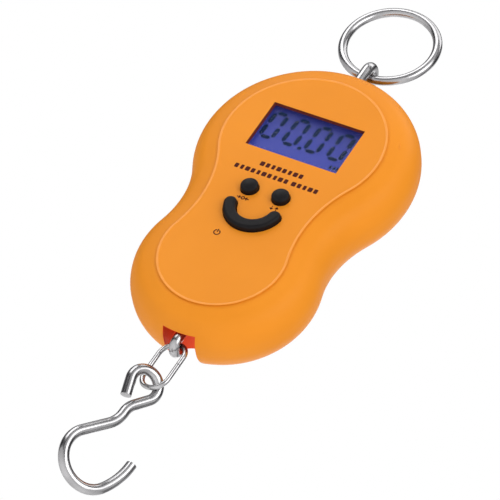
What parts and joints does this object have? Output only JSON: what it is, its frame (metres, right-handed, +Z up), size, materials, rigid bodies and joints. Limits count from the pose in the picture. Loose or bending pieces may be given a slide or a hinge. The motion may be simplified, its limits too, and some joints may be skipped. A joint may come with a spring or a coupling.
{
  "type": "digital hanging scale",
  "caption": "Peanut-shaped orange hanging scale with a blue display, round and curved black keys, a wire ring on top and a hook on a chain link below.",
  "frame": {"origin": "centre of the top ring, where the scale is held", "axes": "+Z up along the hanging line, front face and display toward -Y, +X to the right as the display is read"},
  "size_m": [0.0712, 0.027, 0.2104],
  "materials": {
    "polished_steel": "polished round wire",
    "plated_steel": "bright zinc plate",
    "orange_abs": "satin moulded orange",
    "clear_lens": "clear polished sheet",
    "lcd_blue": "blue display glass",
    "white_diffuser": "frosted",
    "black_rubber": "soft satin",
    "switch_plastic": "moulded",
    "green_board": "solder mask",
    "potting": "black resin",
    "cell_aluminium": "machined",
    "gauge_film": "amber film",
    "wire_red": "insulation",
    "cell_jacket": "plain jacket"
  },
  "bodies": {
    "ring": {"hang_ring": "polished_steel"},
    "housing": {"upper_eye": "polished_steel", "lower_eye": "polished_steel", "upper_nut": "plated_steel", "lower_nut": "plated_steel", "shell_screws": "plated_steel", "board_screws": "plated_steel", "cell_screws": "plated_steel", "front_shell": "orange_abs", "rear_shell": "orange_abs", "lcd_lens": "clear_lens", "lcd_glass": "lcd_blue", "lcd_backlight": "white_diffuser", "zebra_strip": "black_rubber", "tact_switches": "switch_plastic", "main_board": "green_board", "controller_drop": "potting", "quartz_can": "plated_steel", "buzzer": "potting", "load_cell": "cell_aluminium", "strain_gauges": "gauge_film", "gauge_wires": "wire_red", "battery_wires": "wire_red", "battery_left": "cell_jacket", "battery_right": "cell_jacket", "battery_springs": "plated_steel", "contact_plates": "plated_steel"},
    "link": {"chain_link": "polished_steel"},
    "hook_body": {"hook": "polished_steel"},
    "key_left": {"button_left": "black_rubber"},
    "key_right": {"button_right": "black_rubber"},
    "key_smile": {"button_smile": "black_rubber"},
    "door": {"battery_door": "orange_abs"}
  },
  "joints": [
    {"name": "ring_hinge", "type": "hinge", "parent": "ring", "child": "housing", "pos_m": [0, 0, -0.0152], "axis": [1, 0, 0], "range_deg": [-90, 90]},
    {"name": "link_hinge", "type": "hinge", "parent": "housing", "child": "link", "pos_m": [0, -0.0009, -0.1347], "axis": [1, 0, 0], "range_deg": [-50, 50]},
    {"name": "hook_hinge", "type": "hinge", "parent": "link", "child": "hook_body", "pos_m": [0, -0.0009, -0.1523], "axis": [0.8704, -0.4924, 0], "range_deg": [-55, 55]},
    {"name": "key_left_press", "type": "slide", "parent": "housing", "child": "key_left", "axis": [0, 1, 0], "range_m": [0, 0.00045], "stiffness_N_per_m": 600},
    {"name": "key_right_press", "type": "slide", "parent": "housing", "child": "key_right", "axis": [0, 1, 0], "range_m": [0, 0.00045], "stiffness_N_per_m": 600},
    {"name": "key_smile_press", "type": "slide", "parent": "housing", "child": "key_smile", "axis": [0, 1, 0], "range_m": [0, 0.00045], "stiffness_N_per_m": 600},
    {"name": "door_lift_off", "type": "slide", "parent": "housing", "child": "door", "axis": [0, 1, 0], "range_m": [0, 0.02]}
  ]
}
